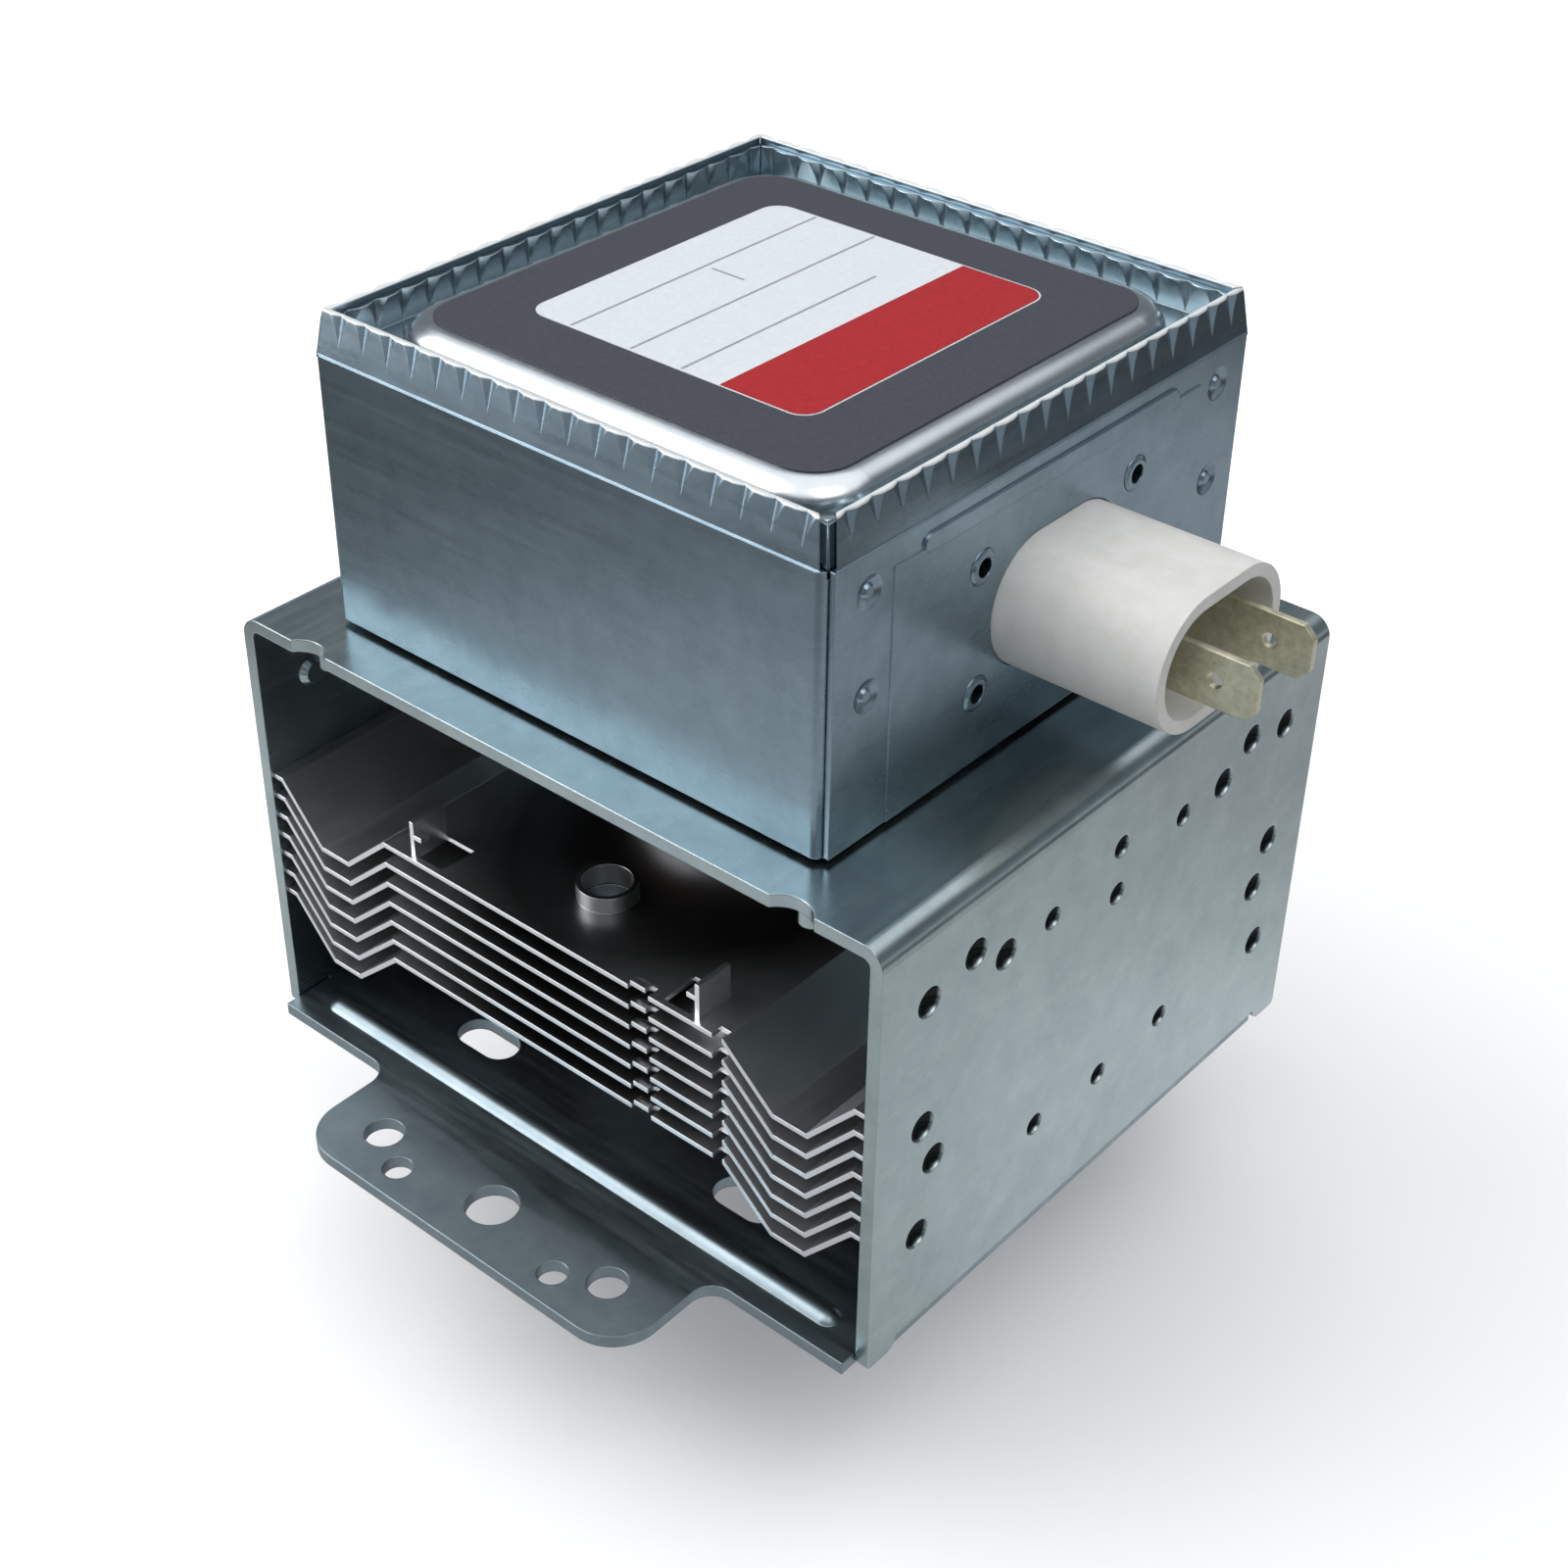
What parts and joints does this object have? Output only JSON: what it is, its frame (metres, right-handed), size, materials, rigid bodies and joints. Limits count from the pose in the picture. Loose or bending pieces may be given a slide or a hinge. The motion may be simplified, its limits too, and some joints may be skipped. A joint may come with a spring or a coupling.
{
  "type": "microwave oven magnetron",
  "caption": "Microwave magnetron: folded steel yoke with ring magnets and finned anode, crimped filter box with connector on top, antenna below.",
  "frame": {"origin": "centre of the fixing holes on the mounting face, on the antenna axis", "axes": "+Z from the mounting face towards the filter box, antenna along -Z, open sides of the yoke towards -Y and +Y, connector towards +X"},
  "size_m": [0.11, 0.1172, 0.1252],
  "materials": {
    "galvanised_steel": "zinc coated, satin",
    "ferrite": "sintered, matt dark grey",
    "aluminium": "rolled sheet, bright",
    "copper": "bare copper, satin",
    "tube_steel": "nickel plated, satin",
    "molybdenum": "drawn, dull",
    "alumina": "fired ceramic, smooth",
    "woven_wire": "knitted wire",
    "label": "printed film, satin",
    "ivory_plastic": "moulded, satin",
    "tinned_brass": "tin plated, dull"
  },
  "bodies": {
    "root": {"yoke": "galvanised_steel", "mounting_plate": "galvanised_steel", "filter_box": "galvanised_steel", "connector_plate": "galvanised_steel", "box_lid": "galvanised_steel", "capacitor_flange": "galvanised_steel", "lower_magnet": "ferrite", "upper_magnet": "ferrite", "front_choke_core": "ferrite", "back_choke_core": "ferrite", "cooling_fin_1": "aluminium", "cooling_fin_2": "aluminium", "cooling_fin_3": "aluminium", "cooling_fin_4": "aluminium", "cooling_fin_5": "aluminium", "cooling_fin_6": "aluminium", "cooling_fin_7": "aluminium", "anode_cylinder": "copper", "anode_vanes": "copper", "upper_straps": "copper", "lower_straps": "copper", "antenna_lead": "copper", "exhaust_tube": "copper", "front_choke_coil": "copper", "back_choke_coil": "copper", "upper_pole_piece": "tube_steel", "lower_pole_piece": "tube_steel", "upper_shell": "tube_steel", "lower_shell": "tube_steel", "antenna_cap": "tube_steel", "centre_terminal": "tube_steel", "side_terminal": "tube_steel", "filament": "molybdenum", "upper_end_hat": "molybdenum", "lower_end_hat": "molybdenum", "centre_lead": "molybdenum", "side_lead": "molybdenum", "cathode_ceramic": "alumina", "antenna_ceramic": "alumina", "capacitor_ceramic": "alumina", "rf_gasket": "woven_wire", "label_sheet": "label", "connector_housing": "ivory_plastic", "capacitor_case": "ivory_plastic", "front_tab": "tinned_brass", "back_tab": "tinned_brass", "front_conductor": "tinned_brass", "back_conductor": "tinned_brass"}
  },
  "joints": []
}
